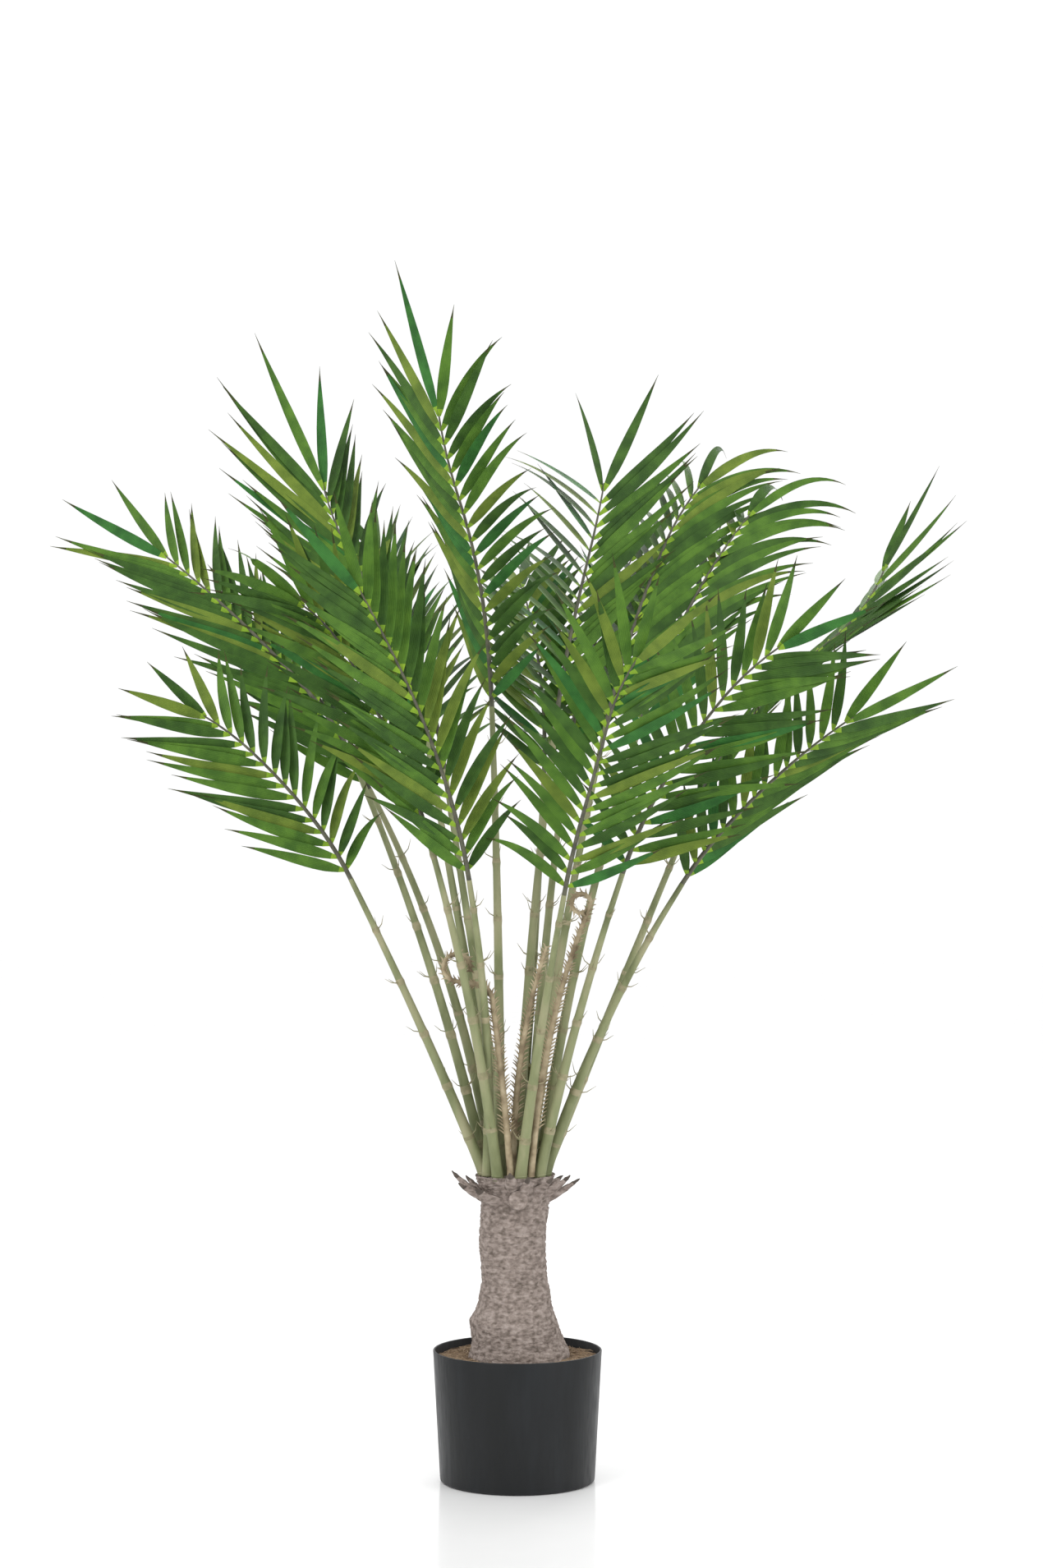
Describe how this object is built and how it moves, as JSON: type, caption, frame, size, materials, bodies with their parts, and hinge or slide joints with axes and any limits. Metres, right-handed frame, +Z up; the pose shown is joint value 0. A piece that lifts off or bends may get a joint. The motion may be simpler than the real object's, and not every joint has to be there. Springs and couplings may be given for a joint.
{
  "type": "artificial potted chamaedorea palm",
  "caption": "Artificial feather palm: arching pinnate fronds on long slender stems above a short rough trunk ringed by cut leaf bases, in a plain round black plastic pot.",
  "frame": {"origin": "centre of the pot's flat underside", "axes": "+Z up along the plant, -Y the front of the plant, +X to the right seen from the front"},
  "size_m": [1.0869, 0.9441, 1.3844],
  "materials": {
    "pot_plastic": "satin moulded black plastic",
    "coir_filling": "brown coir fibre over a cement weight",
    "trunk_bark": "rough cast grey-brown bark",
    "stem_plastic": "olive moulded plastic",
    "leaf_fabric": "printed green leaf cloth",
    "young_frond_plastic": "tan moulded plastic"
  },
  "bodies": {
    "root": {"pot": "pot_plastic", "coir_filling": "coir_filling", "trunk": "trunk_bark", "stem_01": "stem_plastic", "stem_02": "stem_plastic", "stem_03": "stem_plastic", "stem_04": "stem_plastic", "stem_05": "stem_plastic", "stem_06": "stem_plastic", "stem_07": "stem_plastic", "stem_08": "stem_plastic", "stem_09": "stem_plastic", "stem_10": "stem_plastic", "stem_11": "stem_plastic", "stem_12": "stem_plastic", "stem_13": "stem_plastic", "stem_14": "stem_plastic", "stem_15": "stem_plastic", "stem_16": "stem_plastic", "stem_17": "stem_plastic", "frond_01": "leaf_fabric", "frond_02": "leaf_fabric", "frond_03": "leaf_fabric", "frond_04": "leaf_fabric", "frond_05": "leaf_fabric", "frond_06": "leaf_fabric", "frond_07": "leaf_fabric", "frond_08": "leaf_fabric", "frond_09": "leaf_fabric", "frond_10": "leaf_fabric", "frond_11": "leaf_fabric", "frond_12": "leaf_fabric", "frond_13": "leaf_fabric", "frond_14": "leaf_fabric", "frond_15": "leaf_fabric", "frond_16": "leaf_fabric", "frond_17": "leaf_fabric", "young_frond_1": "young_frond_plastic", "young_frond_2": "young_frond_plastic", "young_frond_3": "young_frond_plastic"}
  },
  "joints": []
}
